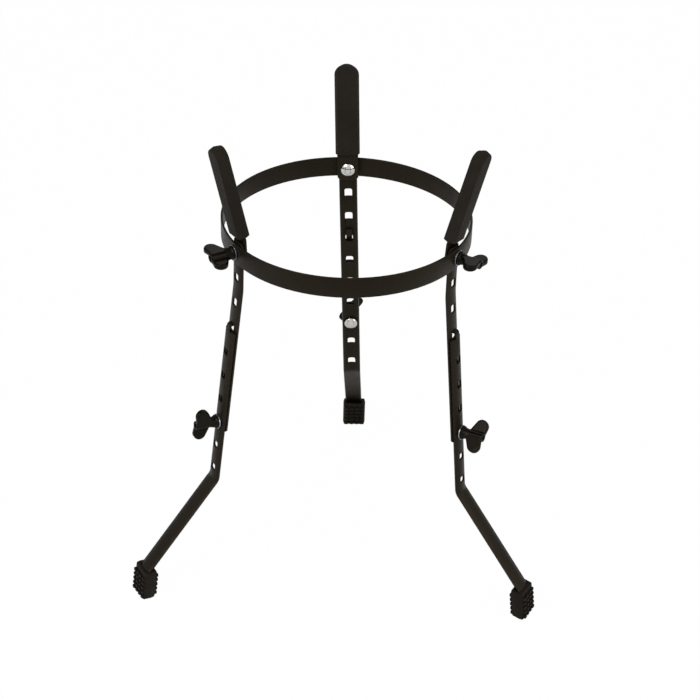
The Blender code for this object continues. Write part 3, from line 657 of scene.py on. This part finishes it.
def bolt_frame(place, node, turn=0.0):
    """Matrix with X outward along a bolt from the node's base, and Y turned up from the level, in degrees."""
    stated = JOINTS[place + "_knob_turn"]
    outward = -Vector(stated["axis"]).normalized()
    origin = Vector(stated["pos_m"])
    start = min((point - origin).dot(outward) for point in vertices(node))
    level = outward.cross(UP).normalized()
    upright = level.cross(outward)
    across = level * math.cos(math.radians(turn)) + upright * math.sin(math.radians(turn))
    matrix = Matrix((outward, across, outward.cross(across))).transposed().to_4x4()
    return Matrix.Translation(origin + outward * start) @ matrix


def add_knobs():
    shape = knob_shape()
    for place in BOLT_PLACES:
        node = place + "_knob"
        mesh = shape.copy()
        mesh.transform(bolt_frame(place, node, KNOB_TURN[place]))
        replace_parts(show(mesh, node + "_moulding", node, "knob_plastic", KNOB_SHARP_ANGLE), node)
        refined(node + "_insert", "insert_brass", INSERT_EDGE)
        refined(place + "_washer", "washer_zinc", WASHER_EDGE)


def thread_shape(start, end):
    """Threaded rod about X from start to end, closed at both ends, with a chamfered tip."""
    rows = round((end - start) / THREAD_PITCH * THREAD_ROWS)
    shape = bmesh.new()
    rings = []
    for row in range(rows + 1):
        x = start + (end - start) * row / rows
        radii = []
        for step in range(THREAD_SEGMENTS):
            phase = (x / THREAD_PITCH + step / THREAD_SEGMENTS) % 1.0
            wave = 1.0 - abs(2.0 * phase - 1.0)
            radius = THREAD_ROOT + (THREAD_CREST - THREAD_ROOT) * min(1.0, wave * THREAD_STEEPNESS)
            radii.append(min(radius, THREAD_ROOT - THREAD_CHAMFER + (end - x)))
        rings.append(circle_points(shape, x, radii))
    for one, other in zip(rings, rings[1:]):
        for step in range(THREAD_SEGMENTS):
            after = (step + 1) % THREAD_SEGMENTS
            shape.faces.new((one[step], other[step], other[after], one[after]))
    shape.faces.new(rings[0])
    shape.faces.new(rings[-1])
    bmesh.ops.recalc_face_normals(shape, faces=shape.faces)
    return meshed(shape, "thread")


def cut_off(mesh, x):
    """The part of a closed mesh below x, closed again."""
    shape = bmesh.new()
    shape.from_mesh(mesh)
    bmesh.ops.bisect_plane(shape, geom=shape.verts[:] + shape.edges[:] + shape.faces[:],
                           plane_co=(x, 0.0, 0.0), plane_no=(1.0, 0.0, 0.0), clear_outer=True)
    bmesh.ops.edgeloop_fill(shape, edges=[edge for edge in shape.edges if edge.is_boundary])
    bmesh.ops.recalc_face_normals(shape, faces=shape.faces)
    return meshed(shape, "head")


def add_bolts():
    """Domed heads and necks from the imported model, each with a threaded rod in place of its plain shank."""
    for place in BOLT_PLACES:
        node = place + "_bolt"
        axis = bolt_frame(place, place + "_washer")
        inverse = axis.inverted()
        end = max((inverse @ point).x for point in vertices(node))
        head = welded(node)
        head.transform(inverse)
        head = eased(cut_off(head, THREAD_START), HEAD_EDGE, EASED_STEPS, EASED_ANGLE)
        head.transform(Matrix.Diagonal((1.0, HEAD_TRIM, HEAD_TRIM, 1.0)))
        whole = joined([head, thread_shape(THREAD_START - THREAD_OVERLAP, end)])
        whole.transform(axis)
        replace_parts(show(whole, node + "_threaded", node, "bolt_chrome", BOLT_SHARP_ANGLE), node)


def boot_frame(node):
    """A boot's matrix and half its sole's thickness.

    The matrix has its origin at the middle of the sole, X outward through the boot and Y along its faces.
    """
    points = vertices(node)
    floor = min(point.z for point in points)
    sole = [point for point in points if point.z < floor + SOLE_BAND]
    middle = sum(sole, Vector()) / len(sole)
    flat = [(point.x - middle.x, point.y - middle.y) for point in sole]
    shared = sum(x * y for x, y in flat)
    turn = math.atan2(2.0 * shared, sum(x * x - y * y for x, y in flat)) / 2.0
    along = Vector((math.cos(turn), math.sin(turn), 0.0))
    across = along.cross(UP)
    outward = Vector((middle.x, middle.y, 0.0)) - Vector((*ring_centre().xy, 0.0))
    if across.dot(outward) < 0.0:
        across, along = -across, -along
    reach = [(point - middle).dot(across) for point in sole]
    width = [(point - middle).dot(along) for point in sole]
    middle = middle + across * (max(reach) + min(reach)) / 2.0 + along * (max(width) + min(width)) / 2.0
    matrix = Matrix((across, along, UP)).transposed().to_4x4()
    return Matrix.Translation(middle) @ matrix, (max(reach) - min(reach)) / 2.0


def tread_block():
    """One rounded block of the tread, tipped as the boot's faces lean."""
    shape = bmesh.new()
    bmesh.ops.create_cube(shape, size=1.0)
    block = meshed(shape, "block")
    block.transform(Matrix.Diagonal((*TREAD_SIZE, 1.0)))
    block = eased(block, TREAD_EDGE, ROUND_STEPS, TREAD_EDGE_ANGLE)
    block.transform(Matrix.Rotation(math.radians(-BOOT_LEAN), 4, "Y"))
    return block


def tread_shape(half):
    """The tread on both faces of a boot whose sole is twice half thick."""
    one = tread_block()
    lean = math.tan(math.radians(BOOT_LEAN))
    blocks = []
    for side in (-1.0, 1.0):
        for row in range(TREAD_ROWS):
            height = TREAD_FIRST + TREAD_PITCH_UP * row
            out = side * (half + TREAD_STAND) - height * lean
            for column in range(TREAD_COLUMNS):
                along = (column - (TREAD_COLUMNS - 1) / 2.0) * TREAD_PITCH_ACROSS
                block = one.copy()
                block.transform(Matrix.Translation((out, along, height)))
                blocks.append(block)
    return joined(blocks)


def add_boots():
    """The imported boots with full, rounded tread blocks on their inner and outer faces."""
    for station in STATIONS:
        node = station + "_foot"
        refined(node, "boot_rubber", BOOT_EDGE, ROUND_STEPS)
        place, half = boot_frame(node)
        tread = tread_shape(half)
        tread.transform(place)
        show(tread, node + "_tread", node, "boot_rubber", TREAD_SHARP_ANGLE)


def fuller_pad(mesh):
    """Widen a pad, fill the half that faces the drum and lay its top edge straight through its thickness."""
    points = [vertex.co for vertex in mesh.vertices]
    middle = sum(points, Vector()) / len(points)
    outward = Vector((*(middle - ring_centre()).xy.normalized(), 0.0))
    lean = math.radians(PAD_LEAN)
    along = Vector((0.0, 0.0, math.cos(lean))) + outward * math.sin(lean)
    side = along.cross(outward).normalized()
    depth = side.cross(along)
    if depth.dot(outward) < 0.0:
        depth = -depth
    placed = [((point - middle).dot(depth), (point - middle).dot(side), (point - middle).dot(along))
              for point in points]
    inner = min(place[0] for place in placed)
    outer = max(place[0] for place in placed)
    half_width = max(abs(place[1]) for place in placed)
    widest = [place[0] for place in placed if abs(place[1]) > half_width - PAD_WIDEST_BAND]
    split = sum(widest) / len(widest)
    shoulder = max(place[2] for place in placed) - PAD_TOP_RADIUS
    for vertex, (deep, across, rise) in zip(mesh.vertices, placed):
        reach = (outer - split) if deep > split else (split - inner)
        near_split = max(0.0, 1.0 - abs(deep - split) / reach)
        if rise > shoulder:
            scale = 1.0 - PAD_TOP_DROP * near_split
            if deep < split:
                scale += PAD_INNER_RISE * (1.0 - near_split)
            rise = shoulder + (rise - shoulder) * scale
        if deep < split:
            deep = split + (deep - split) * PAD_INNER_FULLNESS
        vertex.co = middle + depth * deep + side * across * PAD_STRETCH + along * rise


def add_pads():
    for station in STATIONS:
        pad = refined(station + "_pad", "pad_rubber", PAD_EDGE, ROUND_STEPS, PAD_EASED_ANGLE, fuller_pad)


def add_bars():
    refined("ring", "powder_coat", BAR_EDGE)
    for station in STATIONS:
        for part in ("arm", "upper_leg", "lower_leg"):
            refined(station + "_" + part, "powder_coat", BAR_EDGE)


def add_surroundings():
    """A world that is white to the camera, dimmer as a light, and banded where the stand mirrors it."""
    world = bpy.data.worlds.new("studio")
    bpy.context.scene.world = world
    world.use_nodes = True
    nodes = Nodes(world.node_tree)
    background = world.node_tree.nodes["Background"]
    ray = nodes.new("ShaderNodeLightPath").outputs
    seen = nodes.combine("MAXIMUM", ray["Is Camera Ray"], ray["Is Glossy Ray"])
    nodes.link(nodes.spread(seen, AMBIENT, 1.0, 0.0, 1.0), background.inputs["Strength"])

    parts = nodes.new("ShaderNodeSeparateXYZ")
    nodes.link(nodes.new("ShaderNodeTexCoord").outputs["Generated"], parts.inputs["Vector"])
    factor, by_height, by_depth, screens = nodes.mix("MULTIPLY")
    factor.default_value = 1.0
    nodes.link(nodes.greys(parts.outputs["Z"], SCREENS), by_height)
    nodes.link(nodes.greys(parts.outputs["Y"], BACKDROP), by_depth)

    factor, plain, mirrored, result = nodes.mix()
    nodes.link(ray["Is Glossy Ray"], factor)
    plain.default_value = (*WHITE, 1.0)
    nodes.link(screens, mirrored)
    nodes.link(result, background.inputs["Color"])


def add_floor():
    """A pale floor that shows as white, with a little of the stand's shadow left."""
    bpy.ops.mesh.primitive_plane_add(size=FLOOR_SIZE, location=(0.0, 0.0, 0.0))
    floor = bpy.context.object
    floor.name = "floor"
    material = bpy.data.materials.new("floor")
    material.use_nodes = True
    nodes = Nodes(material.node_tree)
    principled = nodes.tree.nodes["Principled BSDF"]
    principled.inputs["Base Color"].default_value = FLOOR_COLOUR
    principled.inputs["Roughness"].default_value = FLOOR_ROUGHNESS
    principled.inputs["Specular IOR Level"].default_value = FLOOR_SPECULAR
    glow = nodes.new("ShaderNodeEmission")
    glow.inputs["Color"].default_value = (*WHITE, 1.0)
    ray = nodes.new("ShaderNodeLightPath").outputs
    mix = nodes.new("ShaderNodeMixShader")
    nodes.link(nodes.spread(ray["Is Camera Ray"], 0.0, FLOOR_GLOW, 0.0, 1.0), mix.inputs["Fac"])
    nodes.link(principled.outputs["BSDF"], mix.inputs[1])
    nodes.link(glow.outputs["Emission"], mix.inputs[2])
    nodes.link(mix.outputs["Shader"], nodes.tree.nodes["Material Output"].inputs["Surface"])
    floor.data.materials.append(material)


def add_lamps():
    for name, (place, size, power) in LAMPS.items():
        data = bpy.data.lights.new(name, "AREA")
        data.shape = "RECTANGLE"
        data.size, data.size_y = size
        data.energy = power
        lamp = bpy.data.objects.new(name, data)
        bpy.context.scene.collection.objects.link(lamp)
        aim = LAMP_TARGET - Vector(place)
        lamp.matrix_world = Matrix.Translation(place) @ aim.to_track_quat("-Z", "Y").to_matrix().to_4x4()


add_camera()
add_surroundings()
add_floor()
add_lamps()
add_bars()
add_pads()
add_bolts()
add_knobs()
add_boots()
bpy.context.scene.view_settings.view_transform = "Standard"
